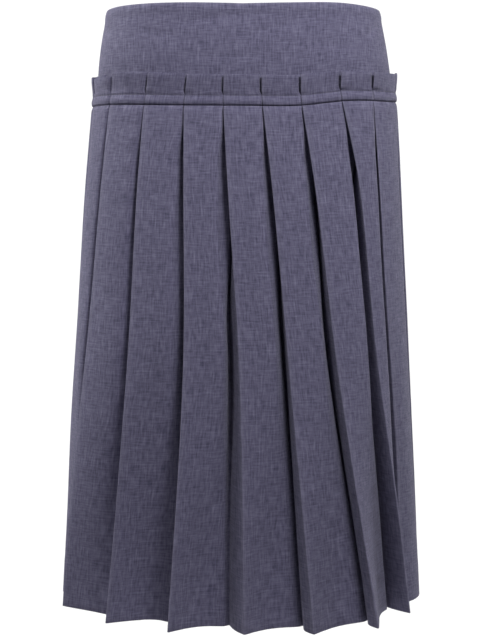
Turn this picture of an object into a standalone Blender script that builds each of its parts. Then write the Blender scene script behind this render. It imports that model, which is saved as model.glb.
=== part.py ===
"""Pleated midi skirt: a plain hip yoke and knife pleats that stand free above the band that holds them.

Metres, +Z up. The origin is the middle of the waist opening, level with the waist edge at the centre
front. The front of the skirt faces -Y. Places round the skirt are arc lengths along its plan curve, from
the centre front towards +X, and depths are measured square to that curve.
"""

import math

import bpy
import numpy as np

# Heights of the cut, below the waist edge.
HEADER_TOP = -0.078
BAND_TOP = -0.100
BAND_MIDDLE = -0.105
BAND_BOTTOM = -0.110
YOKE_BOTTOM = -0.114
HEM = -0.6635

# Cloth. The inner folds are rounder where the pleats are open, and the yoke lies just clear of the
# three layers of a pressed pleat.
PLEAT_WALL = 0.0010
YOKE_WALL = 0.0016
FOLD_RADIUS = 0.00075
LAYER = 2 * FOLD_RADIUS
VALLEY_RADIUS = 0.0018
SEAM_GAP = 0.0003
SEAM_PAST_FOLD = 0.0012
LAYER_SLACK = 0.0004
YOKE_INSET = 2 * LAYER + PLEAT_WALL / 2 + SEAM_GAP + LAYER_SLACK + YOKE_WALL / 2

# Plan of the skirt: a rounded oblong at each height, through the outermost folds.
PLAN_COLUMNS = ("height", "left", "right", "front", "back", "squareness")
PLAN = (
    (0.000, 0.1645, 0.1620, 0.1095, 0.1040, 2.40),
    (-0.050, 0.1700, 0.1700, 0.1140, 0.1160, 2.40),
    (-0.105, 0.1730, 0.1762, 0.1170, 0.1240, 2.40),
    (-0.200, 0.1809, 0.1815, 0.1280, 0.1320, 2.42),
    (-0.310, 0.1877, 0.1867, 0.1390, 0.1410, 2.44),
    (-0.445, 0.1957, 0.1937, 0.1510, 0.1510, 2.46),
    (-0.560, 0.2020, 0.1989, 0.1605, 0.1590, 2.48),
    (-0.680, 0.2080, 0.2047, 0.1700, 0.1660, 2.50),
)
PLAN_STEPS = 360

# How far the waist edge and the band rise above their height at the centre front, by share of the way
# round: 0 at the centre front, 0.25 at the right side, 0.5 at the centre back and 0.75 at the left side.
RISE_COLUMNS = ("share_round", "waist", "band")
RISES = (
    (0.00, 0.0000, 0.0000),
    (0.06, 0.0015, 0.0000),
    (0.12, 0.0035, 0.0065),
    (0.18, 0.0030, 0.0085),
    (0.25, 0.0030, 0.0110),
    (0.50, 0.0060, 0.0090),
    (0.75, 0.0030, 0.0055),
    (0.84, 0.0030, 0.0040),
    (0.92, 0.0020, 0.0010),
    (1.00, 0.0000, 0.0000),
)

# The folded edges of the front pleats, in millimetres along the plan curve at four heights. The valley
# behind the next edge has its mouth, its reach past that edge and its depth at the hem. The inset sets an
# edge back at the hem, and the head raises a pleat's free top. At the hem the panel spreads by its share
# and sinks in a bowl, and the return before the edge swells in a bulge.
FOLD_HEIGHTS = (-0.105, -0.200, -0.400, -0.6635)
FOLD_COLUMNS = (
    "band", "hip", "thigh", "hem",
    "mouth", "past_hip", "past_mid", "past_hem", "deep_hem", "inset_hem", "head", "spread_share",
    "bowl_hem", "bulge_hem",
)
FRONT_FOLDS = (
    (-199.4, -211.0, -248.0, -298.0, 5.0, -8.0, -4.0, -6.0, 30.0, 0.0, -1.0, 1.0, 0.0, 3.0),
    (-156.4, -169.0, -195.0, -239.9, 10.0, -8.0, -3.0, 0.0, 38.0, -1.9, 2.5, 1.0, -1.0, 3.0),
    (-108.4, -116.0, -128.0, -154.0, 13.0, -8.0, -3.0, 1.0, 37.0, 4.0, 1.0, 1.0, 12.0, 3.0),
    (-63.4, -63.0, -63.0, -78.3, 15.0, -6.0, 11.0, 17.2, 30.8, -0.9, 0.5, 1.0, 4.5, 3.0),
    (-20.9, -15.5, -3.0, 1.5, 11.0, -6.0, 1.5, 3.4, 25.2, -2.7, 0.6, 1.0, 4.0, 2.5),
    (21.1, 32.0, 50.0, 72.8, 11.0, -6.0, 1.5, -9.1, 16.7, -6.9, 0.0, 1.0, 4.0, 6.0),
    (63.6, 78.5, 103.0, 141.2, 9.0, -6.0, -2.0, -12.0, 33.0, -11.2, 0.5, 1.0, 4.0, 6.0),
    (109.1, 131.0, 156.0, 206.7, 2.6, -8.0, -5.0, -6.0, 34.0, 1.1, -1.5, 1.0, 0.0, 3.0),
    (152.6, 161.0, 180.0, 243.0, 6.0, -8.0, -4.0, -8.0, 30.0, 18.0, -1.5, 0.0, 0.0, 2.0),
    (212.6, 220.0, 244.0, 302.0, 6.0, -8.0, -4.0, -8.0, 30.0, 0.0, 0.0, 1.0, 0.0, 0.0),
)
PLEATS = 22
FRONT_PLEATS = 10
BACK_VALLEY = (8.0, -8.0, -4.0, -8.0, 29.0, 0.0, 0.0, 1.0, 3.0, 3.0)
BACK_UNEVENNESS = 2.5

UNDERLAP = 0.029
VALLEY_DEPTH = 0.030
CHANNEL_DEPTH = 0.024
DEEPENING = (0.270, 0.420)
OPENING = (0.110, 0.215)
MOUTH_OPENING = (0.110, 0.175)
WEDGE = (0.109, 0.270)
CLEARING = (0.190, 0.350)
SPREADING = (0.330, 0.6635)
HEADER_FLARE = 0.0025
BAND_BULGE = 0.0008
HEM_VALLEY_DROP = 0.0008

# Rings of the pleated cloth, and points on each pleat: two folds, the guides of its panel and the middle
# of its return.
RING_HEIGHTS = (
    HEADER_TOP, BAND_TOP, BAND_MIDDLE, BAND_BOTTOM,
    -0.122, -0.139, -0.157, -0.176, -0.200, -0.270, -0.360, -0.460, -0.560, HEM,
)
ARC_STEPS = 2
GUIDES = 4
POINTS_PER_PLEAT = 2 * (ARC_STEPS + 1) + GUIDES + 1
# The returns run the other way round, so their quads are split the other way to lie level with the panels.
RETURN_STEPS = (0, 1)
YOKE_RINGS = (0.0, -0.038, HEADER_TOP, BAND_TOP, YOKE_BOTTOM)
YOKE_STEPS = 36

CLOTH_COLOUR = (0.107, 0.098, 0.156, 1.0)
CLOTH_ROUGHNESS = 0.85


def mixed(first, second, share):
    return first + (second - first) * share


def eased(value, start, end):
    """0 before start, 1 after end, and a smooth step between."""
    share = min(1.0, max(0.0, (value - start) / (end - start)))
    return share * share * (3 - 2 * share)


def smooth_value(x, knots, values):
    """A smooth curve through a short table, with the knots rising."""
    x = min(max(x, knots[0]), knots[-1])
    i = min(max(int(np.searchsorted(knots, x)) - 1, 0), len(knots) - 2)

    def slope(j):
        low, high = max(j - 1, 0), min(j + 1, len(knots) - 1)
        return (values[high] - values[low]) / (knots[high] - knots[low])

    width = knots[i + 1] - knots[i]
    t = (x - knots[i]) / width
    return (
        (1 + 2 * t) * (1 - t) ** 2 * values[i]
        + t * (1 - t) ** 2 * width * slope(i)
        + t * t * (3 - 2 * t) * values[i + 1]
        + t * t * (t - 1) * width * slope(i + 1)
    )


def column(table, columns, name):
    return [row[columns.index(name)] for row in table]


class Plan:
    """The plan curve at one height, with places given by arc length from the centre front."""

    def __init__(self, height):
        heights = column(PLAN, PLAN_COLUMNS, "height")[::-1]

        def size(name):
            return smooth_value(height, heights, column(PLAN, PLAN_COLUMNS, name)[::-1])

        turn = np.linspace(0, 2 * math.pi, PLAN_STEPS + 1)
        across = np.sin(turn)
        along = -np.cos(turn)
        power = 2 / size("squareness")
        width = np.where(across > 0, size("right"), size("left"))
        depth = np.where(along > 0, size("back"), size("front"))
        self.x = width * np.sign(across) * np.abs(across) ** power
        self.y = depth * np.sign(along) * np.abs(along) ** power
        steps = np.hypot(np.diff(self.x), np.diff(self.y))
        self.length = np.concatenate([[0], np.cumsum(steps)])
        self.round = self.length[-1]

    def at(self, arc, out=0.0):
        """The point that far round, moved out square to the curve."""
        reach = 0.004
        places = np.array([arc - reach, arc, arc + reach]) % self.round
        x = np.interp(places, self.length, self.x)
        y = np.interp(places, self.length, self.y)
        along = np.array([x[2] - x[0], y[2] - y[0]])
        along /= np.linalg.norm(along)
        return x[1] + along[1] * out, y[1] - along[0] * out


def rise(share_round, name):
    shares = column(RISES, RISE_COLUMNS, "share_round")
    return smooth_value(share_round % 1.0, shares, column(RISES, RISE_COLUMNS, name))


def fold_rows():
    """A row for each pleat: the front ones as given, and the rest evenly spread round the back."""
    rows = [list(row) for row in FRONT_FOLDS]
    back = PLEATS - len(rows)
    rounds = [Plan(height).round * 1000 for height in FOLD_HEIGHTS]
    for step in range(1, back + 1):
        share = step / (back + 1)
        sway = BACK_UNEVENNESS * math.sin(2.4 * step) * math.sin(math.pi * share)
        places = []
        for i, whole in enumerate(rounds):
            first, last = FRONT_FOLDS[-1][i], FRONT_FOLDS[0][i] + whole
            places.append(mixed(first, last, share) + sway * i)
        rows.append(places + list(BACK_VALLEY))
    return rows


ROWS = fold_rows()
BAND_ROUND = Plan(FOLD_HEIGHTS[0]).round


def row_share(pleat, name):
    return ROWS[pleat % PLEATS][FOLD_COLUMNS.index(name)]


def row_value(pleat, name):
    return row_share(pleat, name) / 1000


def fold_arc(pleat, height, whole):
    """Arc length of a pleat's folded edge; pleats past the last one go round again."""
    places = [row_value(pleat, name) for name in FOLD_COLUMNS[:4]][::-1]
    place = smooth_value(height, FOLD_HEIGHTS[::-1], places)
    if height > FOLD_HEIGHTS[0]:
        place *= whole / BAND_ROUND
    return place + whole * (pleat // PLEATS)


def on_circle(centre, direction, radius):
    """Where a path leaves a fold of the cloth in a direction; a negative radius turns the other way."""
    x = centre[0] - radius * math.sin(direction)
    return np.array([x, centre[1] + radius * math.cos(direction)])


def heading(start, end):
    return math.atan2(end[1] - start[1], end[0] - start[0])


def closed_pleat(pleat, pitch):
    """Guides of a pleat pressed flat: arc length and depth from its folded edge, the inner fold last."""
    half = UNDERLAP / 2
    under = -2 * LAYER
    return (
        (half, 0.0),
        (UNDERLAP + 0.0015, 0.0),
        (pitch - 0.0035, under),
        (pitch + half, under),
        (pitch + UNDERLAP, under + FOLD_RADIUS),
    )


def channel_pleat(pleat, height, pitch):
    """Guides of a pleat that lies flat and then turns down into a deep channel before the next edge."""
    wedge = min(1.0, max(0.0, (-height - WEDGE[0]) / (WEDGE[1] - WEDGE[0]))) ** 0.6
    clear = eased(-height, *CLEARING)
    mouth = row_value(pleat, "mouth") * wedge
    past = mixed(row_value(pleat, "past_hip"), row_value(pleat, "past_mid"), clear)
    deep = mixed(CHANNEL_DEPTH, VALLEY_DEPTH, eased(-height, *DEEPENING))
    under = mixed(-0.0005, mixed(mouth, past, 0.6), clear)
    return (
        (pitch * 0.40, 0.0),
        (pitch - mouth - 0.0030, -0.0008),
        (pitch - mixed(0.72, 0.90, clear) * mouth, -mixed(0.46, 0.26, clear) * deep),
        (pitch - under, -mixed(0.75, 0.64, clear) * deep),
        (pitch - past, -deep),
    )


def spread_pleat(pleat, pitch):
    """Guides of a pleat that has opened: a slack panel from edge to valley."""
    reach = pitch - row_value(pleat, "past_hem")
    deep = -row_value(pleat, "deep_hem")
    bowl = row_value(pleat, "bowl_hem")
    shares = ((0.16, 0.27), (0.42, 0.60), (0.68, 0.78), (0.88, 0.86), (1.0, 1.0))
    return tuple((reach * along, deep * down - bowl * math.sin(math.pi * along)) for along, down in shares)


def pleat_guides(pleat, height, pitch):
    """The panel's guides at a height: arc length and depth from its folded edge, the inner fold last."""
    mouth_share = eased(-height, *MOUTH_OPENING)
    open_share = eased(-height, *OPENING)
    hem_share = eased(-height, *SPREADING) * row_share(pleat, "spread_share")
    open_shares = np.array([mouth_share, mouth_share, mouth_share, open_share, open_share])[:, None]
    closed, channel = closed_pleat(pleat, pitch), channel_pleat(pleat, height, pitch)
    guides = mixed(np.array(closed), np.array(channel), open_shares)
    return mixed(guides, np.array(spread_pleat(pleat, pitch)), hem_share)


def arc_points(centre, start, end, radius):
    return [on_circle(centre, mixed(start, end, i / ARC_STEPS), radius) for i in range(ARC_STEPS + 1)]


def return_heading(inner, outer, radius):
    """The straight return runs from the far side of the inner fold to the near side of the outer one."""
    lean = math.asin(min(1.0, (FOLD_RADIUS + radius) / np.linalg.norm(outer - inner)))
    return heading(inner, outer) % (2 * math.pi) + lean


def pleat_points(pleat, height, whole):
    """One pleat at one height, as arc lengths and depths: folded edge, panel and inner fold."""
    here = fold_arc(pleat, height, whole)
    after = fold_arc(pleat + 1, height, whole)
    before = fold_arc(pleat - 1, height, whole)
    guides = pleat_guides(pleat, height, after - here)
    valley = guides[-1]
    behind = pleat_guides(pleat - 1, height, here - before)[-1] - np.array([here - before, 0])
    edge = np.array([0.0, -FOLD_RADIUS])
    next_edge = np.array([after - here, -FOLD_RADIUS])
    radius = mixed(FOLD_RADIUS, VALLEY_RADIUS, eased(-height, *OPENING))
    turned = return_heading(valley, next_edge, radius)
    outer = arc_points(edge, return_heading(behind, edge, radius), heading(edge, guides[0]), FOLD_RADIUS)
    inner = arc_points(valley, heading(guides[-2], valley), turned, -radius)
    inset = row_value(pleat, "inset_hem") * eased(-height, *SPREADING)

    def moved(point):
        fading = (1 - min(1.0, max(0.0, point[0] / (after - here)))) ** 2
        return here + point[0], point[1] - inset * fading

    return [[moved(point) for point in part] for part in (outer, guides[:-1], inner)]


def cloth_out(height):
    """How far the whole stack of layers stands out: the header flares and the band is a soft tunnel."""
    flare = HEADER_FLARE * eased(height, BAND_TOP, HEADER_TOP)
    bulge = BAND_BULGE * (1 - min(1.0, abs(height - BAND_MIDDLE) / (BAND_TOP - BAND_MIDDLE)))
    return flare + bulge


def cloth_height(height, arc, depth, plan, pleat):
    """The height of a point, with the rise of the band and the slight fall of the hem's valleys."""
    lift = rise(arc / plan.round, "band") * (1 - eased(-height, -BAND_BOTTOM, 0.40))
    lift += row_value(pleat, "head") * eased(height, BAND_TOP, HEADER_TOP)
    lift -= HEM_VALLEY_DROP * min(1.0, max(0.0, -depth / VALLEY_DEPTH)) ** 3 * eased(-height, 0.55, -HEM)
    return height + lift


def step_along(start, end, distance):
    way = np.array(end) - np.array(start)
    return tuple(np.array(start) + way * distance / np.linalg.norm(way))


def return_middle(start, end, bulge):
    """The middle of the return from a valley to the next edge, swelling out towards the panel before it."""
    start, end = np.array(start), np.array(end)
    along = (end - start) / np.linalg.norm(end - start)
    return tuple((start + end) / 2 + bulge * np.array([-along[1], along[0]]))


def pleated_ring(height, first, last):
    """The cloth's middle line at one height, between the side seams just past the inner folds."""
    plan = Plan(height)
    points = []
    left = pleat_points(first - 1, height, plan.round)[-1][-1]
    for pleat in range(first, last + 1):
        outer, panel, inner = pleat_points(pleat, height, plan.round)
        bulge = row_value(pleat, "bulge_hem") * eased(-height, *SPREADING)
        chosen = [return_middle(left, outer[0], bulge)] + outer + panel + inner
        if pleat == first:
            chosen.insert(0, step_along(left, outer[0], SEAM_PAST_FOLD + SEAM_GAP))
        left = inner[-1]
        if pleat == last:
            after = pleat_points(pleat + 1, height, plan.round)[0][0]
            chosen.append(step_along(left, after, SEAM_PAST_FOLD))
        for arc, depth in chosen:
            x, y = plan.at(arc, depth + cloth_out(height))
            points.append((x, y, cloth_height(height, arc, depth, plan, pleat)))
    return points


def yoke_ring(height, start, end):
    """The yoke's middle line at one height, just short of two shares of the way round."""
    plan = Plan(height)
    gap = SEAM_GAP / 2 / plan.round
    points = []
    for share in np.linspace(start + gap, end - gap, YOKE_STEPS + 1):
        arc = share * plan.round
        x, y = plan.at(arc, -YOKE_INSET)
        lift = mixed(rise(share, "waist"), rise(share, "band"), eased(-height, 0.0, -HEADER_TOP))
        points.append((x, y, height + lift))
    return points


def cloth_material():
    material = bpy.data.materials.new("melange_wool")
    material.use_nodes = True
    shader = material.node_tree.nodes["Principled BSDF"]
    shader.inputs["Base Color"].default_value = CLOTH_COLOUR
    shader.inputs["Roughness"].default_value = CLOTH_ROUGHNESS
    shader.inputs["Metallic"].default_value = 0.0
    return material


def cloth_piece(name, rings, wall, collection):
    """Lofts the rings into an open sheet and gives it the cloth's thickness."""
    across = len(rings[0])
    points = [point for ring in rings for point in ring]
    faces = []
    for i in range(len(rings) - 1):
        for j in range(across - 1):
            low = (i + 1) * across + j
            high = i * across + j
            if j % POINTS_PER_PLEAT in RETURN_STEPS:
                faces += [(low, low + 1, high), (low + 1, high + 1, high)]
            else:
                faces += [(low, low + 1, high + 1), (low, high + 1, high)]
    mesh = bpy.data.meshes.new(name)
    mesh.from_pydata(points, [], faces)
    mesh.materials.append(cloth_material())
    piece = bpy.data.objects.new(name, mesh)
    collection.objects.link(piece)
    solidify = piece.modifiers.new("cloth thickness", "SOLIDIFY")
    solidify.thickness = wall
    solidify.offset = 0
    solidify.use_even_offset = True
    solidify.use_rim = True
    mesh.shade_smooth()
    mesh.set_sharp_from_angle(angle=math.radians(40))
    return piece


def main():
    for item in list(bpy.data.objects):
        bpy.data.objects.remove(item, do_unlink=True)
    skirt = bpy.data.collections.new("pleated_midi_skirt")
    bpy.context.scene.collection.children.link(skirt)
    front = [yoke_ring(height, -0.25, 0.25) for height in YOKE_RINGS]
    back = [yoke_ring(height, 0.25, 0.75) for height in YOKE_RINGS]
    cloth_piece("yoke_front", front, YOKE_WALL, skirt)
    cloth_piece("yoke_back", back, YOKE_WALL, skirt)
    spans = {"pleated_front": (0, FRONT_PLEATS - 1), "pleated_back": (FRONT_PLEATS, PLEATS - 1)}
    for name, (first, last) in spans.items():
        rings = [pleated_ring(height, first, last) for height in RING_HEIGHTS]
        cloth_piece(name, rings, PLEAT_WALL, skirt)


main()
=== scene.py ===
"""Pleated midi skirt: thin melange suiting on the forms of its solids, in a plain studio.

Metres, in the frame of the solids: +Z up, the front faces -Y. Places round the skirt are arc
lengths along its plan curve from the centre front towards +X, or shares of the whole way round.
Depths are measured square to that curve, and the pleated cloth lies at depths below zero.
"""

import math

import bpy
import numpy as np
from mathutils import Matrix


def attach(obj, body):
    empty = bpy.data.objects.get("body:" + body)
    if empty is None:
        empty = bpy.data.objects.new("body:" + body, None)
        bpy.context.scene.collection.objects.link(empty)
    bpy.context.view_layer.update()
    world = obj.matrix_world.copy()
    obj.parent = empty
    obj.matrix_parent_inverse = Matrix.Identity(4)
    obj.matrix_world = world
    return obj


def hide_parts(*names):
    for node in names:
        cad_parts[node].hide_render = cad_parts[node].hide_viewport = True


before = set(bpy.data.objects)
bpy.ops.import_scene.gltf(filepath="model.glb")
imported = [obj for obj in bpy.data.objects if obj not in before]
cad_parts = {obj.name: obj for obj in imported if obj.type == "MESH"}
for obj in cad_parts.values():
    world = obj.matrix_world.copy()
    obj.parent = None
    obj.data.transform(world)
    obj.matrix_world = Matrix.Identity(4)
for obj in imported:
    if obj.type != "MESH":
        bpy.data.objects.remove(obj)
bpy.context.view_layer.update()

# Heights of the cut, below the waist edge.
HEADER_TOP = -0.078
BAND_TOP = -0.100
BAND_BOTTOM = -0.110
YOKE_BOTTOM = -0.114
HEM = -0.6635
HEM_DEPTH = 0.042
TURNED_EDGE_BLUR = 0.0015

# Cloth. The layers of a pressed pleat lie two fold radii apart, closer under the stitched band.
PLEAT_WALL = 0.0008
PRESSED_WALL = 0.00045
HEM_WALL = 0.0012
YOKE_WALL = 0.0011
YOKE_EDGE_WALL = 0.0018
FOLD_RADIUS = 0.0006
PRESSED_RADIUS = 0.00034
HEADER_RADIUS = 0.00085
VALLEY_RADIUS = 0.0018
SEAM_GAP = 0.0003
SEAM_PAST_FOLD = 0.0012
YOKE_INSET = 0.0050
EDGE_SOFTNESS = 0.00025
PLEAT_CLOTH = 0.105

# Plan of the skirt: a rounded oblong at each height, through the outermost folds.
PLAN_COLUMNS = ("height", "left", "right", "front", "back", "squareness")
PLAN = (
    (0.000, 0.1612, 0.1620, 0.1095, 0.1040, 2.40),
    (-0.050, 0.1688, 0.1700, 0.1140, 0.1160, 2.40),
    (-0.105, 0.1730, 0.1762, 0.1170, 0.1240, 2.40),
    (-0.200, 0.1809, 0.1815, 0.1280, 0.1320, 2.42),
    (-0.310, 0.1877, 0.1867, 0.1390, 0.1410, 2.44),
    (-0.445, 0.1957, 0.1937, 0.1510, 0.1510, 2.46),
    (-0.560, 0.2020, 0.1989, 0.1605, 0.1590, 2.48),
    (-0.680, 0.2080, 0.2047, 0.1700, 0.1660, 2.50),
)
PLAN_STEPS = 720
TANGENT_REACH = 0.004

# How far the waist edge and the band rise above their height at the centre front.
RISE_COLUMNS = ("share_round", "waist", "band")
RISES = (
    (0.00, 0.0000, 0.0000),
    (0.06, 0.0015, 0.0000),
    (0.12, 0.0035, 0.0065),
    (0.18, 0.0030, 0.0085),
    (0.25, 0.0030, 0.0110),
    (0.50, 0.0060, 0.0090),
    (0.75, 0.0030, 0.0055),
    (0.84, 0.0030, 0.0040),
    (0.92, 0.0020, 0.0010),
    (1.00, 0.0000, 0.0000),
)
RISE_STEPS = 400

# The front pleats in millimetres, from the left side to the right. First the place of the folded
# edge at four heights. Then the valley before the next edge: the gap at its mouth, its reach past
# that edge at hip, mid and hem, and its depth at the hem. Then how far the edge sinks at the hem,
# how far the frill stands above its height, the share of opening at the hem (not a length), how
# far the frill gapes at the edge, and how far panel and return bow at the hem.
FOLD_HEIGHTS = (-0.105, -0.200, -0.400, -0.6635)
FOLD_COLUMNS = (
    "band", "hip", "thigh", "hem",
    "mouth", "past_hip", "past_mid", "past_hem", "deep_hem", "inset_hem",
    "head", "spread_share", "gape", "bowl_hem", "bulge_hem",
)
FRONT_FOLDS = (
    (-199.4, -211.0, -248.0, -298.0, 5.0, -8.0, -4.0, -6.0, 30.0, 0.0, -2.4, 1.0, -0.9, 0.0, 3.0),
    (-156.4, -169.0, -195.0, -239.9, 10.0, -8.0, -3.0, 0.0, 38.0, -1.9, 2.5, 1.0, -0.8, -1.0, 3.0),
    (-108.4, -116.0, -128.0, -154.0, 13.0, -8.0, -3.0, 1.0, 37.0, 4.0, 1.0, 1.0, 1.2, 12.0, 3.0),
    (-63.4, -63.0, -63.0, -78.3, 15.0, -6.0, 11.0, 17.2, 30.8, -0.9, 0.5, 1.0, 1.3, 4.5, 3.0),
    (-20.9, -15.5, -3.0, 1.5, 11.0, -6.0, 1.5, 3.4, 25.2, -2.7, 0.6, 1.0, 1.2, 4.0, 2.5),
    (21.1, 32.0, 50.0, 72.8, 11.0, -6.0, 1.5, -9.1, 16.7, -6.9, 0.0, 1.0, 1.2, 4.0, 6.0),
    (63.6, 78.5, 103.0, 141.2, 9.0, -6.0, -2.0, -12.0, 33.0, -11.2, 0.5, 1.0, 1.4, 4.0, 6.0),
    (109.1, 131.0, 156.0, 206.7, 2.6, -8.0, -5.0, -6.0, 34.0, 1.1, -1.5, 1.0, 2.2, 0.0, 3.0),
    (152.6, 161.0, 180.0, 243.0, 6.0, -8.0, -4.0, -8.0, 30.0, 18.0, -1.5, 0.0, 2.6, 0.0, 2.0),
    (212.6, 220.0, 244.0, 302.0, 6.0, -8.0, -4.0, -8.0, 30.0, 0.0, 0.0, 1.0, 1.3, 0.0, 0.0),
)
PLEATS = 22
FRONT_PLEATS = 10

# The back pleats share one valley, and their evenly spread edges sway a little, in millimetres and
# in radians from one edge to the next.
BACK_VALLEY = (8.0, -8.0, -4.0, -8.0, 29.0, 0.0, 0.0, 1.0, 1.2, 3.0, 3.0)
BACK_UNEVENNESS = 2.5
BACK_SWAY_TURN = 2.4

# How far the tops of some front folds lean to the right in the free frill; the first pleat is 0.
HEADER_LEANS = {1: 0.0024, 2: 0.0048, 3: 0.0040, 4: 0.0012}

# A pressed pleat, in fold radii: where it turns down before the next edge, and how deep it goes.
TURN_DOWN = (4.6, 3.4)
UNDER_LAYER = 4

# A channel beside the next edge: the lip where the panel turns down, as lengths along and down, and
# the guides of its wall. Each of those has its share high up, and its share where it lies clear:
# of the mouth's width outwards, and of the valley's depth.
CHANNEL_START = 0.40
CHANNEL_LIP = (0.0030, 0.0008)
WALL_OUT = (0.72, 0.90)
WALL_DOWN = (0.46, 0.26)
FOOT_DOWN = (0.75, 0.64)
FOOT_PAST_EDGE = 0.0005
FOOT_TOWARDS_VALLEY = 0.6
WEDGE_POWER = 0.6

# Sizes of every pleat, and the stretches over which they change, as distances below the waist.
UNDERLAP = 0.029
VALLEY_DEPTH = 0.030
CHANNEL_DEPTH = 0.024
DEEPENING = (0.270, 0.420)
OPENING = (0.110, 0.215)
MOUTH_OPENING = (0.110, 0.175)
PRESS_START = (0.0975, 0.0998)
PRESS_END = (0.1120, 0.1155)
CLEARING = (0.190, 0.350)
WEDGE = (0.109, 0.270)
SPREADING = (0.330, -HEM)
SETTLING = (0.550, -HEM)
SLACKENING = (0.150, 0.500)
BAND_RISE_FADING = (-BAND_BOTTOM, 0.400)
HEADER_LOOSE = (-0.0985, -0.0960)
HEADER_FLARE = 0.0025
GAPE_REACH = 0.010
GAPE_BY_BAND = 0.75
HEM_VALLEY_DROP = 0.0008

# The band's profile: soft dips and swellings, by height, half-width and depth outwards.
BAND_PROFILE = (
    (-0.1003, 0.0010, -0.00045),
    (-0.1060, 0.0032, 0.00070),
    (-0.1111, 0.0009, -0.00150),
    (-0.1128, 0.0026, -0.00060),
)

# The yoke's profile, with the same columns: its turned edge stands out a little and rolls in.
YOKE_PROFILE = (
    (-0.0060, 0.0030, 0.00030),
    (0.0000, 0.0008, -0.00040),
)
YOKE_TURN_FADING = (0.0080, 0.0120)
# Painted highlight on the yoke's folded waist edge: the share of the lighter colour in its top row.
YOKE_EDGE_PAINTED_HIGHLIGHT = 0.5
SEAM_DIP = 0.0005
SEAM_DIP_HALF = 0.0012

# Soft creases: share of the way round, height, lean from upright in degrees, length, half-width
# and depth, where one below zero is a ridge.
YOKE_CREASES = (
    (0.955, -0.018, 82, 0.075, 0.0050, 0.0007),
    (0.900, -0.034, 98, 0.060, 0.0060, 0.0006),
    (0.040, -0.026, 75, 0.070, 0.0055, 0.0006),
    (0.110, -0.048, 96, 0.055, 0.0050, 0.0006),
    (0.175, -0.030, 62, 0.040, 0.0045, 0.0008),
    (0.985, -0.058, 90, 0.090, 0.0060, 0.0005),
    (0.300, -0.030, 104, 0.050, 0.0050, 0.0008),
    (0.385, -0.045, 84, 0.080, 0.0060, 0.0007),
    (0.470, -0.022, 97, 0.065, 0.0055, 0.0007),
    (0.560, -0.052, 80, 0.075, 0.0060, 0.0006),
    (0.645, -0.028, 99, 0.060, 0.0050, 0.0008),
    (0.720, -0.044, 72, 0.045, 0.0050, 0.0007),
    (0.800, -0.025, 106, 0.050, 0.0055, 0.0007),
)
PANEL_CREASES = (
    (0.985, -0.175, 4, 0.090, 0.0065, 0.0009),
    (0.030, -0.255, -5, 0.120, 0.0080, 0.0010),
    (0.928, -0.235, 7, 0.140, 0.0085, -0.0010),
    (0.871, -0.300, -3, 0.160, 0.0080, 0.0011),
    (0.077, -0.345, 9, 0.150, 0.0090, -0.0011),
    (0.118, -0.215, 6, 0.090, 0.0060, 0.0010),
    (0.973, -0.455, -6, 0.170, 0.0100, 0.0014),
    (0.052, -0.520, 5, 0.150, 0.0100, -0.0013),
    (0.905, -0.540, 3, 0.140, 0.0110, 0.0014),
    (0.170, -0.400, 4, 0.160, 0.0080, 0.0010),
    (0.232, -0.290, -4, 0.130, 0.0080, 0.0010),
    (0.305, -0.380, 6, 0.170, 0.0090, -0.0012),
    (0.362, -0.230, -6, 0.110, 0.0075, 0.0010),
    (0.418, -0.470, 4, 0.160, 0.0100, 0.0013),
    (0.497, -0.330, -7, 0.150, 0.0090, 0.0011),
    (0.551, -0.205, 5, 0.100, 0.0070, -0.0009),
    (0.604, -0.500, -4, 0.160, 0.0100, 0.0013),
    (0.676, -0.350, 6, 0.150, 0.0085, 0.0011),
    (0.742, -0.250, -5, 0.120, 0.0080, 0.0010),
    (0.808, -0.430, 5, 0.170, 0.0095, -0.0012),
)

# The slow unevenness of hanging cloth: its depth, and its waves as share of that depth, waves round
# the skirt, radians a metre of height and start.
SLACK = 0.0011
SLACK_WAVES = (
    (0.55, 6, 9, 0.6),
    (0.35, 11, -14, 2.2),
    (0.30, 17, 21, 4.1),
)

# Stretches of height with the number of rows in each, and the columns in each part of a pleat.
ROW_STRETCHES = (
    (HEADER_TOP, -0.0965, 7),
    (-0.0965, -0.1160, 36),
    (-0.1160, -0.2200, 21),
    (-0.2200, -0.6135, 34),
    (-0.6135, HEM, 8),
)
YOKE_ROWS = 46
YOKE_STEPS = 150
ARC_STEPS = 6
PANEL_STEPS = 3
RETURN_STEPS = 6

# Stitches of the two rows that hold the band. Each is a slim bar that swells in the middle, given
# by places along it and radii. It stands off the cloth by a share of its radius, and keeps off each
# folded edge by a share of its length. The spans are shares of the way round.
STITCH_ROWS = (-0.1003, -0.1112)
STITCH_PITCH = 0.0027
STITCH_LENGTH = 0.0019
STITCH_RADIUS = 0.00022
STITCH_SIDES = 5
STITCH_STATIONS = ((-0.5, 0.35), (-0.32, 0.9), (0.0, 1.0), (0.32, 0.9), (0.5, 0.35))
STITCH_STANDING = 0.4
STITCHES_KEEP_OFF = 0.6
STITCH_SPANS = {"front": (-0.21, 0.25), "back": (0.25, 0.79)}

# Camera of a 480 by 640 picture.
PICTURE_HEIGHT = 640
CAMERA_PLACE = (-0.0033, -1.5826, -0.2221)
CAMERA_DOWN = 0.631
CAMERA_SHIFT = -0.15
CAMERA_FOCAL_PIXELS = 1365.7
SENSOR = 36.0

# The studio: a floor that sweeps up behind, lights and background.
FLOOR = -1.50
FLOOR_FRONT = -1.8
FLOOR_BACK = 2.2
FLOOR_HALF_WIDTH = 2.6
SWEEP_RADIUS = 1.2
SWEEP_STEPS = 12
BACKDROP_TOP = 3.4
WORLD_LIGHT = 0.015
WORLD_SEEN = 0.80
MIDDLE = (0.0, 0.0, -0.20)

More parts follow.
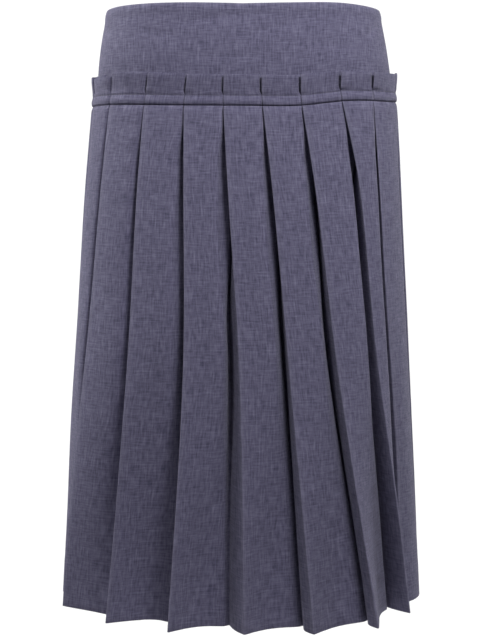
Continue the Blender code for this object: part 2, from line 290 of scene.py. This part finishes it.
# Square lights: name, place, the point each faces, size and power in watts.
LIGHTS = (
    ("key", (0.50, -0.98, 1.0), MIDDLE, 0.30, 16.2),
    ("key_centre", (0.28, -1.00, 1.0), MIDDLE, 0.30, 5.6),
    ("key_right", (0.76, -0.90, 1.1), MIDDLE, 0.35, 6.6),
    ("key_left", (-0.66, -0.92, 1.1), MIDDLE, 0.35, 9.0),
    ("left", (-1.5, 0.2, 0.9), MIDDLE, 0.8, 23.5),
    ("right", (1.5, -0.4, 1.2), MIDDLE, 0.8, 1.5),
    ("rim_left", (-1.5, 0.9, 0.8), MIDDLE, 0.6, 9.0),
    ("backdrop_left", (-2.2, 0.9, 1.4), (-0.6, 3.2, -0.2), 1.6, 66.0),
    ("backdrop_right", (2.2, 0.9, 1.4), (0.6, 3.2, -0.2), 1.6, 66.0),
)


def mixed(first, second, share):
    return first + (second - first) * share


def eased(value, start, end):
    """0 before start, 1 after end, and a smooth step between."""
    share = np.clip((value - start) / (end - start), 0.0, 1.0)
    return share * share * (3 - 2 * share)


def smooth_value(x, knots, values):
    """A smooth curve through a short table, with the knots rising."""
    x = min(max(x, knots[0]), knots[-1])
    i = min(max(int(np.searchsorted(knots, x)) - 1, 0), len(knots) - 2)

    def slope(j):
        low, high = max(j - 1, 0), min(j + 1, len(knots) - 1)
        return (values[high] - values[low]) / (knots[high] - knots[low])

    width = knots[i + 1] - knots[i]
    t = (x - knots[i]) / width
    return (
        (1 + 2 * t) * (1 - t) ** 2 * values[i]
        + t * (1 - t) ** 2 * width * slope(i)
        + t * t * (3 - 2 * t) * values[i + 1]
        + t * t * (t - 1) * width * slope(i + 1)
    )


def column(table, columns, name):
    return [row[columns.index(name)] for row in table]


class Plan:
    """The plan curve at one height, with places given by arc length from the centre front."""

    def __init__(self, height):
        heights = column(PLAN, PLAN_COLUMNS, "height")[::-1]

        def size(name):
            return smooth_value(height, heights, column(PLAN, PLAN_COLUMNS, name)[::-1])

        turn = np.linspace(0, 2 * math.pi, PLAN_STEPS + 1)
        across = np.sin(turn)
        along = -np.cos(turn)
        power = 2 / size("squareness")
        width = np.where(across > 0, size("right"), size("left"))
        depth = np.where(along > 0, size("back"), size("front"))
        self.x = width * np.sign(across) * np.abs(across) ** power
        self.y = depth * np.sign(along) * np.abs(along) ** power
        steps = np.hypot(np.diff(self.x), np.diff(self.y))
        self.length = np.concatenate([[0], np.cumsum(steps)])
        self.round = self.length[-1]

    def at(self, arcs, out):
        """The points that far round, moved out square to the curve."""

        def on_curve(places):
            places = places % self.round
            across = np.interp(places, self.length, self.x)
            back = np.interp(places, self.length, self.y)
            return np.stack([across, back], 1)

        along = on_curve(arcs + TANGENT_REACH) - on_curve(arcs - TANGENT_REACH)
        along /= np.linalg.norm(along, axis=1)[:, None]
        return on_curve(arcs) + np.stack([along[:, 1], -along[:, 0]], 1) * out[:, None]


RISE_SHARES = np.linspace(0, 1, RISE_STEPS + 1)


def rise_curve(name):
    shares = column(RISES, RISE_COLUMNS, "share_round")
    values = column(RISES, RISE_COLUMNS, name)
    return np.array([smooth_value(share, shares, values) for share in RISE_SHARES])


RISE_CURVES = {"waist": rise_curve("waist"), "band": rise_curve("band")}


def rise(shares, name):
    return np.interp(np.asarray(shares) % 1.0, RISE_SHARES, RISE_CURVES[name])


def fold_rows():
    """A row for each pleat: the front ones as given, and the rest evenly spread round the back."""
    rows = [list(row) for row in FRONT_FOLDS]
    back = PLEATS - len(rows)
    rounds = [Plan(height).round * 1000 for height in FOLD_HEIGHTS]
    for step in range(1, back + 1):
        share = step / (back + 1)
        sway = BACK_UNEVENNESS * math.sin(BACK_SWAY_TURN * step) * math.sin(math.pi * share)
        places = []
        for i, whole in enumerate(rounds):
            first, last = FRONT_FOLDS[-1][i], FRONT_FOLDS[0][i] + whole
            places.append(mixed(first, last, share) + sway * i)
        rows.append(places + list(BACK_VALLEY))
    return rows


ROWS = fold_rows()
BAND_ROUND = Plan(FOLD_HEIGHTS[0]).round


def row_share(pleat, name):
    return ROWS[pleat % PLEATS][FOLD_COLUMNS.index(name)]


def row_value(pleat, name):
    return row_share(pleat, name) / 1000


def fold_arc(pleat, height, whole):
    """Arc length of a pleat's folded edge; pleats past the last one go round again."""
    places = [row_value(pleat, name) for name in FOLD_COLUMNS[:4]][::-1]
    place = smooth_value(height, FOLD_HEIGHTS[::-1], places)
    if height > FOLD_HEIGHTS[0]:
        place *= whole / BAND_ROUND
    lean = np.clip((height - BAND_BOTTOM) / (HEADER_TOP - BAND_BOTTOM), 0.0, 1.0)
    place += HEADER_LEANS.get(pleat % PLEATS, 0.0) * lean
    return place + whole * (pleat // PLEATS)


def on_circle(centre, directions, radius):
    """Where a path leaves a fold in each direction; a negative radius turns the other way."""
    away = np.stack([-np.sin(directions), np.cos(directions)], 1)
    return np.asarray(centre) + radius * away


def heading(start, end):
    return math.atan2(end[1] - start[1], end[0] - start[0])


def band_press(height):
    """How firmly the stitched band presses the layers together, from 0 to 1."""
    return eased(-height, *PRESS_START) * (1 - eased(-height, *PRESS_END))


def fold_radius(height):
    radius = mixed(FOLD_RADIUS, HEADER_RADIUS, eased(height, *HEADER_LOOSE))
    return mixed(radius, PRESSED_RADIUS, band_press(height))


def closed_pleat(height, pitch):
    """Guides of a pleat pressed flat: arc length from its edge and depth, inner fold last."""
    fold = fold_radius(height)
    under = -UNDER_LAYER * fold
    return (
        (pitch / 2, 0.0),
        (pitch - TURN_DOWN[0] * fold, 0.0),
        (pitch - TURN_DOWN[1] * fold, under),
        (pitch + UNDERLAP / 2, under),
        (pitch + UNDERLAP, under + fold),
    )


def channel_pleat(pleat, height, pitch):
    """Guides of a pleat that lies flat and then turns down into a channel by the next edge."""
    wedge = np.clip((-height - WEDGE[0]) / (WEDGE[1] - WEDGE[0]), 0.0, 1.0) ** WEDGE_POWER
    clear = eased(-height, *CLEARING)
    mouth = row_value(pleat, "mouth") * wedge
    past = mixed(row_value(pleat, "past_hip"), row_value(pleat, "past_mid"), clear)
    deep = mixed(CHANNEL_DEPTH, VALLEY_DEPTH, eased(-height, *DEEPENING))
    foot = mixed(-FOOT_PAST_EDGE, mixed(mouth, past, FOOT_TOWARDS_VALLEY), clear)
    return (
        (pitch * CHANNEL_START, 0.0),
        (pitch - mouth - CHANNEL_LIP[0], -CHANNEL_LIP[1]),
        (pitch - mixed(*WALL_OUT, clear) * mouth, -mixed(*WALL_DOWN, clear) * deep),
        (pitch - foot, -mixed(*FOOT_DOWN, clear) * deep),
        (pitch - past, -deep),
    )


# The slack panel of an opened pleat: how far down it lies, by share of the way to the valley.
SPREAD_SHARES = ((0.16, 0.27), (0.42, 0.60), (0.68, 0.78), (0.88, 0.86), (1.00, 1.00))


def spread_pleat(pleat, pitch):
    """Guides of a pleat that has opened: a slack panel from edge to valley."""
    reach = pitch - row_value(pleat, "past_hem")
    deep = -row_value(pleat, "deep_hem")
    bowl = row_value(pleat, "bowl_hem")
    guides = []
    for along, down in SPREAD_SHARES:
        guides.append((reach * along, deep * down - bowl * math.sin(math.pi * along)))
    return guides


def pleat_guides(pleat, height, pitch):
    mouth_share = eased(-height, *MOUTH_OPENING)
    open_share = eased(-height, *OPENING)
    hem_share = eased(-height, *SPREADING) * row_share(pleat, "spread_share")
    open_shares = np.array([mouth_share, mouth_share, mouth_share, open_share, open_share])[:, None]
    closed = np.array(closed_pleat(height, pitch))
    channel = np.array(channel_pleat(pleat, height, pitch))
    guides = mixed(closed, channel, open_shares)
    return mixed(guides, np.array(spread_pleat(pleat, pitch)), hem_share)


def arc_points(centre, start, end, radius):
    return on_circle(centre, np.linspace(start, end, ARC_STEPS + 1), radius)


def return_heading(inner, outer, radii):
    """The return crosses from the far side of the inner fold to the near side of the outer one."""
    lean = math.asin(min(1.0, radii / np.linalg.norm(outer - inner)))
    return heading(inner, outer) % (2 * math.pi) + lean


def smooth_run(points, steps):
    """A curve through the points that never swings past them, with equal steps between them."""
    points = np.asarray(points)
    lengths = np.linalg.norm(np.diff(points, axis=0), axis=1)
    slopes = np.diff(points, axis=0) / lengths[:, None]
    before, after = slopes[:-1], slopes[1:]
    product = before * after
    middle = np.where(product > 0, 2 * product / np.where(product > 0, before + after, 1.0), 0.0)
    tangents = np.vstack([slopes[:1], middle, slopes[-1:]])
    t = (np.arange(steps) / steps)[:, None]
    pieces = []
    for i, length in enumerate(lengths):
        pieces.append(
            (1 + 2 * t) * (1 - t) ** 2 * points[i]
            + t * (1 - t) ** 2 * length * tangents[i]
            + t * t * (3 - 2 * t) * points[i + 1]
            + t * t * (t - 1) * length * tangents[i + 1]
        )
    return np.vstack(pieces + [points[-1:]])


def pleat_section(pleat, height, whole):
    """One pleat at one height, as arc lengths and depths: folded edge, panel and inner fold."""
    here = fold_arc(pleat, height, whole)
    after = fold_arc(pleat + 1, height, whole)
    before = fold_arc(pleat - 1, height, whole)
    guides = pleat_guides(pleat, height, after - here)
    valley = guides[-1]
    behind = pleat_guides(pleat - 1, height, here - before)[-1] - np.array([here - before, 0])
    fold = fold_radius(height)
    edge = np.array([0.0, -fold])
    next_edge = np.array([after - here, -fold])
    radius = mixed(fold, VALLEY_RADIUS, eased(-height, *OPENING))
    arriving = return_heading(behind, edge, fold + radius)
    leaving = return_heading(valley, next_edge, fold + radius)
    outer = arc_points(edge, arriving, heading(edge, guides[0]), fold)
    inner = arc_points(valley, heading(guides[-2], valley), leaving, -radius)
    panel = smooth_run(np.vstack([outer[-1:], guides[:-1], inner[:1]]), PANEL_STEPS)[1:-1]
    inset = row_value(pleat, "inset_hem") * eased(-height, *SPREADING)

    def moved(part):
        fading = (1 - np.clip(part[:, 0] / (after - here), 0.0, 1.0)) ** 2
        return part + np.column_stack([np.full(len(part), here), -inset * fading])

    return [moved(part) for part in (outer, panel, inner)]


def gauss(distance, half_width):
    return np.exp(-((distance / half_width) ** 2))


def crease_out(table, shares, heights, whole):
    """How far the soft creases of a table move the cloth out at each point."""
    total = np.zeros(len(shares))
    for share, height, lean, length, half_width, depth in table:
        along_round = ((shares - share + 0.5) % 1.0 - 0.5) * whole
        up = heights - height
        turn = math.radians(lean)
        along = up * math.cos(turn) + along_round * math.sin(turn)
        across = along_round * math.cos(turn) - up * math.sin(turn)
        total -= depth * gauss(across, half_width) * gauss(along, length / 2)
    return total


def slack_out(shares, heights):
    """The slow unevenness of cloth that hangs free, growing from the band down."""
    turn = shares * 2 * math.pi
    waves = np.zeros(len(shares))
    for share, round_waves, up_waves, start in SLACK_WAVES:
        waves += share * np.sin(round_waves * turn + up_waves * heights + start)
    return SLACK * waves * eased(-heights, *SLACKENING)


def band_out(height):
    out = HEADER_FLARE * eased(height, BAND_TOP, HEADER_TOP)
    for middle, half_width, depth in BAND_PROFILE:
        out += depth * gauss(height - middle, half_width)
    return out


def placed(plan, height, arcs, depths, pleats, edge_gaps):
    """Points of the pleated cloth in space, from their arc lengths and depths at a height."""
    shares = arcs / plan.round
    free = eased(height, BAND_TOP, HEADER_TOP)
    out = depths + band_out(height) + slack_out(shares, np.full(len(arcs), height))
    out += crease_out(PANEL_CREASES, shares, np.full(len(arcs), height), plan.round)
    gape = mixed(GAPE_BY_BAND, 1.0, free) * eased(height, *HEADER_LOOSE)
    gapes = np.array([row_value(pleat, "gape") for pleat in pleats])
    out += gapes * gape * gauss(edge_gaps, GAPE_REACH)
    lift = rise(shares, "band") * (1 - eased(-height, *BAND_RISE_FADING))
    lift += np.array([row_value(pleat, "head") for pleat in pleats]) * free
    sunk = np.clip(-depths / VALLEY_DEPTH, 0.0, 1.0) ** 3
    lift -= HEM_VALLEY_DROP * sunk * eased(-height, *SETTLING)
    flat = plan.at(arcs, out)
    return np.column_stack([flat, height + lift])


def step_along(start, end, distance):
    way = end - start
    return start + way * distance / np.linalg.norm(way)


def return_path(start, end, bulge):
    """The return from a valley to the next edge, swelling out towards the panel before it."""
    shares = np.arange(1, RETURN_STEPS)[:, None] / RETURN_STEPS
    along = (end - start) / np.linalg.norm(end - start)
    aside = np.array([-along[1], along[0]])
    return list(start + (end - start) * shares + aside * bulge * np.sin(math.pi * shares))


# Painted highlight round a folded edge: how much of the lighter colour each point takes, most at
# its middle.
EDGE_PAINTED_HIGHLIGHT = np.sin(np.linspace(0.15, 0.85, ARC_STEPS + 1) * math.pi)
FAR_FROM_EDGE = 10.0


def pleated_ring(height, first, last):
    """The cloth's middle line at one height: its points, and how much painted highlight each takes.
    """
    plan = Plan(height)
    numbers = range(first - 1, last + 2)
    sections = {pleat: pleat_section(pleat, height, plan.round) for pleat in numbers}
    flat, pleats, gaps, painted_highlights = [], [], [], []

    def take(points, pleat, edge=None, painted_highlight=0.0):
        """Adds points of a pleat. Those with no edge given lie far from it."""
        count = len(points)
        flat.extend(points)
        pleats.extend([pleat] * count)
        if edge is None:
            gaps.extend([FAR_FROM_EDGE] * count)
        else:
            gaps.extend(np.abs(np.asarray(points)[:, 0] - edge))
        painted_highlights.extend(painted_highlight + np.zeros(count))

    for pleat in range(first, last + 1):
        outer, panel, inner = sections[pleat]
        edge = outer[ARC_STEPS // 2][0]
        start = sections[pleat - 1][2][-1]
        if pleat == first:
            start = step_along(start, outer[0], SEAM_PAST_FOLD + SEAM_GAP)
            take([start], pleat, edge)
        bulge = row_value(pleat, "bulge_hem") * eased(-height, *SPREADING)
        take(return_path(start, outer[0], bulge), pleat, edge)
        take(outer, pleat, edge, EDGE_PAINTED_HIGHLIGHT)
        take(panel, pleat, edge)
        take(inner, pleat)
        if pleat == last:
            after = sections[pleat + 1][0][0]
            take([step_along(inner[-1], after, SEAM_PAST_FOLD)], pleat)
    flat = np.array(flat)
    points = placed(plan, height, flat[:, 0], flat[:, 1], pleats, np.array(gaps))
    return points, np.array(painted_highlights)


def row_heights():
    heights = []
    for start, end, steps in ROW_STRETCHES:
        heights += list(np.linspace(start, end, steps, endpoint=False))
    return heights + [HEM]


def sheet_object(name, rows, cloth, extra, walls, thickest):
    """An open sheet of quads made solid, its walls given as shares of the thickest."""
    count = len(rows[0])
    points = np.vstack(rows)
    low = (np.arange(1, len(rows))[:, None] * count + np.arange(count - 1)).ravel()
    high = low - count
    faces = np.stack([low, low + 1, high + 1, high], 1)
    mesh = bpy.data.meshes.new(name)
    mesh.from_pydata(points.tolist(), [], faces.tolist())
    mesh.attributes.new("cloth", "FLOAT_VECTOR", "POINT").data.foreach_set("vector", cloth.ravel())
    for attribute, values in extra.items():
        mesh.attributes.new(attribute, "FLOAT", "POINT").data.foreach_set("value", values.ravel())
    mesh.shade_smooth()
    piece = bpy.data.objects.new(name, mesh)
    bpy.context.scene.collection.objects.link(piece)
    group = piece.vertex_groups.new(name="wall")
    walls = np.round(walls, 2)
    for value in np.unique(walls):
        group.add(np.flatnonzero(walls == value).tolist(), float(value), "REPLACE")
    solidify = piece.modifiers.new("wall", "SOLIDIFY")
    solidify.thickness = thickest
    solidify.offset = 0
    solidify.use_even_offset = True
    solidify.use_rim = True
    solidify.vertex_group = "wall"
    soften = piece.modifiers.new("edges", "BEVEL")
    soften.width = EDGE_SOFTNESS
    soften.segments = 2
    soften.limit_method = "ANGLE"
    soften.angle_limit = math.radians(70)
    return piece


def pleated_piece(name, first, last, material):
    heights = row_heights()
    rings = [pleated_ring(height, first, last) for height in heights]
    rows = [ring[0] for ring in rings]
    steps = np.array([np.linalg.norm(np.diff(row[:, :2], axis=0), axis=1) for row in rows])
    across = np.concatenate([[0], np.cumsum(steps.mean(0))]) + first * PLEAT_CLOTH
    up = np.array(heights)
    cloth = np.zeros((len(rows), len(across), 3))
    cloth[:, :, 0] = across[None, :]
    cloth[:, :, 1] = up[:, None]
    painted_highlight = np.array([ring[1] for ring in rings])
    turned_edge = -HEM - HEM_DEPTH
    doubled = eased(-up, turned_edge - TURNED_EDGE_BLUR, turned_edge + TURNED_EDGE_BLUR)
    walls = mixed(mixed(PLEAT_WALL, PRESSED_WALL, band_press(up)), HEM_WALL, doubled)
    shares = np.repeat(walls / HEM_WALL, len(across))
    piece = sheet_object(name, rows, cloth, {"painted_highlight": painted_highlight}, shares, HEM_WALL)
    piece.data.materials.append(material)
    return piece


def yoke_piece(name, start, end, material):
    heights = np.linspace(0, YOKE_BOTTOM, YOKE_ROWS + 1)
    rows = []
    cloth = np.zeros((YOKE_ROWS + 1, YOKE_STEPS + 1, 3))
    for i, height in enumerate(heights):
        plan = Plan(height)
        gap = SEAM_GAP / 2 / plan.round
        shares = np.linspace(start + gap, end - gap, YOKE_STEPS + 1)
        arcs = shares * plan.round
        high = np.full(len(arcs), height)
        out = crease_out(YOKE_CREASES, shares, high, plan.round) - YOKE_INSET
        seams = gauss(arcs - arcs[0], SEAM_DIP_HALF) + gauss(arcs - arcs[-1], SEAM_DIP_HALF)
        out -= SEAM_DIP * seams
        for middle, half_width, depth in YOKE_PROFILE:
            out += depth * gauss(height - middle, half_width)
        flat = plan.at(arcs, out)
        lift = mixed(rise(shares, "waist"), rise(shares, "band"), eased(-height, 0.0, -HEADER_TOP))
        rows.append(np.column_stack([flat, height + lift]))
        cloth[i, :, 0] = arcs
        cloth[i, :, 1] = height
    doubled = 1 - eased(-heights, *YOKE_TURN_FADING)
    walls = mixed(YOKE_WALL, YOKE_EDGE_WALL, doubled)
    shares = np.repeat(walls / YOKE_EDGE_WALL, YOKE_STEPS + 1)
    # The top row carries the painted highlight of the folded waist edge.
    painted_highlight = np.zeros((YOKE_ROWS + 1, YOKE_STEPS + 1))
    painted_highlight[0] = YOKE_EDGE_PAINTED_HIGHLIGHT
    piece = sheet_object(name, rows, cloth, {"painted_highlight": painted_highlight}, shares, YOKE_EDGE_WALL)
    piece.data.materials.append(material)
    return piece


def outermost(height, arcs, plan):
    """Depth of the layer that shows at each arc length, where the pleats are pressed flat."""
    depths = np.zeros(len(arcs))
    for pleat in range(-1, PLEATS + 1):
        outer, panel, inner = pleat_section(pleat, height, plan.round)
        top = np.vstack([outer[ARC_STEPS // 2 :], panel])
        start, end = fold_arc(pleat, height, plan.round), fold_arc(pleat + 1, height, plan.round)
        here = (arcs >= start) & (arcs < end)
        depths[here] = np.interp(arcs[here], top[:, 0], top[:, 1])
    return depths


def stitch_form():
    """One stitch along X, as rings of a slim rounded bar: unit length and unit radius."""
    points = []
    for along, radius in STITCH_STATIONS:
        for k in range(STITCH_SIDES):
            turn = 2 * math.pi * k / STITCH_SIDES
            points.append((along, radius * math.cos(turn), radius * math.sin(turn)))
    last_ring = range(len(points) - 1, len(points) - STITCH_SIDES - 1, -1)
    faces = [tuple(range(STITCH_SIDES)), tuple(last_ring)]
    for i in range(len(STITCH_STATIONS) - 1):
        low, high = i * STITCH_SIDES, (i + 1) * STITCH_SIDES
        for k in range(STITCH_SIDES):
            after = (k + 1) % STITCH_SIDES
            faces.append((low + after, low + k, high + k, high + after))
    return np.array(points), faces


def stitch_piece(name, start, end, material):
    """The stitches of both rows between two shares of the way round, on the pressed pleats."""
    form, form_faces = stitch_form()
    points, faces = [], []
    for height in STITCH_ROWS:
        plan = Plan(height)
        count = int((end - start) * plan.round / STITCH_PITCH)
        arcs = (start + (np.arange(count) + 0.5) / count * (end - start)) * plan.round
        half = STITCH_LENGTH / 2
        folds = np.array([fold_arc(pleat, height, plan.round) for pleat in range(-1, PLEATS + 1)])
        ends = []
        for side in (-half, half):
            places = arcs + side
            depths = outermost(height, places, plan)
            out = depths + band_out(height) + PLEAT_WALL / 2
            out += STITCH_RADIUS * STITCH_STANDING
            shares = places / plan.round
            flat = plan.at(places, out)
            ends.append(np.column_stack([flat, height + rise(shares, "band")]))
        outward = plan.at(arcs, np.full(count, 1.0)) - plan.at(arcs, np.zeros(count))
        for k in range(count):
            if np.abs(folds - arcs[k]).min() < STITCH_LENGTH * STITCHES_KEEP_OFF:
                continue
            along = ends[1][k] - ends[0][k]
            normal = np.array([outward[k][0], outward[k][1], 0.0])
            side = np.cross(normal, along)
            side /= np.linalg.norm(side)
            middle = (ends[0][k] + ends[1][k]) / 2
            shape = middle + form[:, :1] * along
            shape = shape + STITCH_RADIUS * (form[:, 1:2] * side + form[:, 2:] * normal)
            first = len(points) * len(form)
            points.append(shape)
            faces += [tuple(first + corner for corner in face) for face in form_faces]
    mesh = bpy.data.meshes.new(name)
    mesh.from_pydata(np.vstack(points).tolist(), [], faces)
    mesh.materials.append(material)
    mesh.shade_smooth()
    piece = bpy.data.objects.new(name, mesh)
    bpy.context.scene.collection.objects.link(piece)
    return piece


class Nodes:
    """Builds a material's nodes, one short call each."""

    def __init__(self, name):
        self.material = bpy.data.materials.new(name)
        self.material.use_nodes = True
        self.tree = self.material.node_tree
        self.shader = self.tree.nodes["Principled BSDF"]

    def link(self, source, target):
        if isinstance(source, (int, float, tuple)):
            target.default_value = source
        else:
            self.tree.links.new(source, target)

    def attribute(self, name, output):
        node = self.tree.nodes.new("ShaderNodeAttribute")
        node.attribute_name = name
        return node.outputs[output]

    def scaled(self, vector, across, up, shift):
        node = self.tree.nodes.new("ShaderNodeMapping")
        self.link(vector, node.inputs["Vector"])
        node.inputs["Scale"].default_value = (across, up, 1.0)
        node.inputs["Location"].default_value = (shift, shift * 0.7, shift)
        return node.outputs["Vector"]

    def noise(self, vector, detail, roughness):
        node = self.tree.nodes.new("ShaderNodeTexNoise")
        node.inputs["Scale"].default_value = 1.0
        node.inputs["Detail"].default_value = detail
        node.inputs["Roughness"].default_value = roughness
        self.link(vector, node.inputs["Vector"])
        return node.outputs["Fac"]

    def waves(self, vector, direction):
        node = self.tree.nodes.new("ShaderNodeTexWave")
        node.bands_direction = direction
        node.inputs["Scale"].default_value = 1.0
        node.inputs["Distortion"].default_value = 0.6
        node.inputs["Detail"].default_value = 1.0
        self.link(vector, node.inputs["Vector"])
        return node.outputs["Fac"]

    def spread(self, value, low, high, to_low, to_high):
        node = self.tree.nodes.new("ShaderNodeMapRange")
        node.clamp = True
        self.link(value, node.inputs["Value"])
        node.inputs["From Min"].default_value = low
        node.inputs["From Max"].default_value = high
        node.inputs["To Min"].default_value = to_low
        node.inputs["To Max"].default_value = to_high
        return node.outputs["Result"]

    def math(self, operation, first, second):
        node = self.tree.nodes.new("ShaderNodeMath")
        node.operation = operation
        self.link(first, node.inputs[0])
        self.link(second, node.inputs[1])
        return node.outputs[0]

    def blend(self, share, first, second):
        node = self.tree.nodes.new("ShaderNodeMix")
        node.data_type = "RGBA"
        self.link(share, node.inputs["Factor"])
        colours = [socket for socket in node.inputs if socket.type == "RGBA"]
        self.link(first, colours[0])
        self.link(second, colours[1])
        return [socket for socket in node.outputs if socket.type == "RGBA"][0]


DARK_YARN = (0.050, 0.046, 0.089, 1.0)
LIGHT_YARN = (0.190, 0.180, 0.276, 1.0)
# A lighter colour painted along folded edges as a highlight, and the most of it that is mixed in.
PAINTED_HIGHLIGHT_COLOUR = (0.230, 0.222, 0.300, 1.0)
PAINTED_HIGHLIGHT_SHARE = 0.28
DARK_THREAD = (0.060, 0.054, 0.090, 1.0)
LIGHT_THREAD = (0.105, 0.098, 0.145, 1.0)
THREADS_PER_METRE = 640.0

# The yarns' unevenness: warp, weft, the slubs of each, and slow patches. Each is a noise, by its
# repeats a metre across and up the cloth, shift, detail and roughness. The part of it from low to
# high becomes that share of the light yarn.
YARNS = (
    (560.0, 70.0, 0.0, 2.0, 0.6, 0.32, 0.68, 0.00, 0.41),
    (75.0, 560.0, 3.0, 2.0, 0.6, 0.32, 0.68, 0.00, 0.31),
    (420.0, 40.0, 7.0, 1.0, 0.5, 0.56, 0.76, 0.00, 0.22),
    (45.0, 440.0, 11.0, 1.0, 0.5, 0.56, 0.76, 0.00, 0.16),
    (34.0, 30.0, 17.0, 2.0, 0.5, 0.30, 0.70, -0.01, 0.03),
)


def suiting(name, shift):
    """Fine plain-weave melange: light and dark yarns with uneven slubs both ways, and matte."""
    nodes = Nodes(name)
    cloth = nodes.attribute("cloth", "Vector")
    value = 0.0
    for across, up, moved, detail, roughness, low, high, least, most in YARNS:
        noise = nodes.noise(nodes.scaled(cloth, across, up, shift + moved), detail, roughness)
        value = nodes.math("ADD", value, nodes.spread(noise, low, high, least, most))
    colour = nodes.blend(value, DARK_YARN, LIGHT_YARN)
    # Painted highlight: folded edges are mixed towards the lighter colour by their attribute.
    painted_highlight = nodes.math("MULTIPLY", nodes.attribute("painted_highlight", "Fac"), PAINTED_HIGHLIGHT_SHARE)
    colour = nodes.blend(painted_highlight, colour, PAINTED_HIGHLIGHT_COLOUR)
    nodes.link(colour, nodes.shader.inputs["Base Color"])
    nodes.link(nodes.spread(value, 0.0, 1.0, 0.92, 0.78), nodes.shader.inputs["Roughness"])
    weave = nodes.scaled(cloth, THREADS_PER_METRE, THREADS_PER_METRE, shift)
    threads = nodes.math("MULTIPLY", nodes.waves(weave, "X"), nodes.waves(weave, "Y"))
    height = nodes.math("ADD", threads, nodes.math("MULTIPLY", value, 1.4))
    bump = nodes.tree.nodes.new("ShaderNodeBump")
    bump.inputs["Strength"].default_value = 0.45
    bump.inputs["Distance"].default_value = 0.0003
    nodes.link(height, bump.inputs["Height"])
    nodes.link(bump.outputs["Normal"], nodes.shader.inputs["Normal"])
    nodes.shader.inputs["Sheen Weight"].default_value = 0.12
    nodes.shader.inputs["Sheen Roughness"].default_value = 0.45
    nodes.shader.inputs["Sheen Tint"].default_value = (0.80, 0.80, 0.92, 1.0)
    nodes.shader.inputs["Specular IOR Level"].default_value = 0.25
    return nodes.material


def thread(name):
    nodes = Nodes(name)
    place = nodes.tree.nodes.new("ShaderNodeTexCoord").outputs["Object"]
    twist = nodes.noise(nodes.scaled(place, 2400.0, 2400.0, 1.0), 1.0, 0.5)
    colour = nodes.blend(twist, DARK_THREAD, LIGHT_THREAD)
    nodes.link(colour, nodes.shader.inputs["Base Color"])
    nodes.shader.inputs["Roughness"].default_value = 0.6
    nodes.shader.inputs["Sheen Weight"].default_value = 0.2
    return nodes.material


def plain(name, colour):
    nodes = Nodes(name)
    nodes.shader.inputs["Base Color"].default_value = colour
    nodes.shader.inputs["Roughness"].default_value = 0.9
    return nodes.material


def area_light(name, place, target, size, power):
    data = bpy.data.lights.new(name, "AREA")
    data.shape = "SQUARE"
    data.size = size
    data.energy = power
    light = bpy.data.objects.new(name, data)
    bpy.context.scene.collection.objects.link(light)
    light.location = place
    aim = np.array(target) - np.array(place)
    light.rotation_euler = (
        math.atan2(math.hypot(aim[0], aim[1]), -aim[2]),
        0.0,
        math.atan2(aim[1], aim[0]) - math.pi / 2,
    )


def studio_floor():
    """A pale floor that sweeps up into a backdrop."""
    profile = [(FLOOR_FRONT, FLOOR), (FLOOR_BACK, FLOOR)]
    for k in range(1, SWEEP_STEPS + 1):
        turn = math.radians(90 * k / SWEEP_STEPS)
        along = FLOOR_BACK + SWEEP_RADIUS * math.sin(turn)
        profile.append((along, FLOOR + SWEEP_RADIUS * (1 - math.cos(turn))))
    profile.append((FLOOR_BACK + SWEEP_RADIUS, BACKDROP_TOP))
    points = [(x, y, z) for y, z in profile for x in (-FLOOR_HALF_WIDTH, FLOOR_HALF_WIDTH)]
    faces = [(2 * i, 2 * i + 1, 2 * i + 3, 2 * i + 2) for i in range(len(profile) - 1)]
    mesh = bpy.data.meshes.new("studio_floor")
    mesh.from_pydata(points, [], faces)
    mesh.shade_smooth()
    mesh.materials.append(plain("studio_paper", (0.92, 0.92, 0.92, 1.0)))
    floor = bpy.data.objects.new("studio_floor", mesh)
    bpy.context.scene.collection.objects.link(floor)


def studio_world():
    """Very little light from all round, and a pale background behind whatever is seen."""
    world = bpy.data.worlds.new("studio")
    world.use_nodes = True
    background = world.node_tree.nodes["Background"]
    background.inputs["Color"].default_value = (1.0, 1.0, 1.0, 1.0)
    rays = world.node_tree.nodes.new("ShaderNodeLightPath")
    strength = world.node_tree.nodes.new("ShaderNodeMapRange")
    strength.inputs["To Min"].default_value = WORLD_LIGHT
    strength.inputs["To Max"].default_value = WORLD_SEEN
    world.node_tree.links.new(rays.outputs["Is Camera Ray"], strength.inputs["Value"])
    world.node_tree.links.new(strength.outputs["Result"], background.inputs["Strength"])
    bpy.context.scene.world = world


def studio():
    """The floor, the soft lights and the camera."""
    studio_floor()
    studio_world()
    for light in LIGHTS:
        area_light(*light)
    data = bpy.data.cameras.new("camera")
    data.sensor_width = SENSOR
    data.lens = CAMERA_FOCAL_PIXELS * SENSOR / PICTURE_HEIGHT
    data.shift_y = CAMERA_SHIFT
    camera = bpy.data.objects.new("camera", data)
    bpy.context.scene.collection.objects.link(camera)
    camera.location = CAMERA_PLACE
    camera.rotation_euler = (math.radians(90 - CAMERA_DOWN), 0.0, 0.0)
    bpy.context.scene.camera = camera
    bpy.context.scene.view_settings.view_transform = "Standard"


def main():
    pleat_cloth = suiting("melange_suiting_pleats", 2.0)
    yoke_cloth = suiting("melange_suiting_yoke", 31.0)
    sewing = thread("sewing_thread")
    pleated = {
        "front": pleated_piece("pleated_cloth_front", 0, FRONT_PLEATS - 1, pleat_cloth),
        "back": pleated_piece("pleated_cloth_back", FRONT_PLEATS, PLEATS - 1, pleat_cloth),
    }
    yokes = {
        "front": yoke_piece("yoke_cloth_front", -0.25, 0.25, yoke_cloth),
        "back": yoke_piece("yoke_cloth_back", 0.25, 0.75, yoke_cloth),
    }
    stitches = {}
    for side, span in STITCH_SPANS.items():
        stitches[side] = stitch_piece("band_stitches_" + side, *span, sewing)
    for side in ("front", "back"):
        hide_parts("pleated_" + side)
        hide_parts("yoke_" + side)
        for piece in (pleated[side], yokes[side], stitches[side]):
            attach(piece, "root")
    studio()


main()
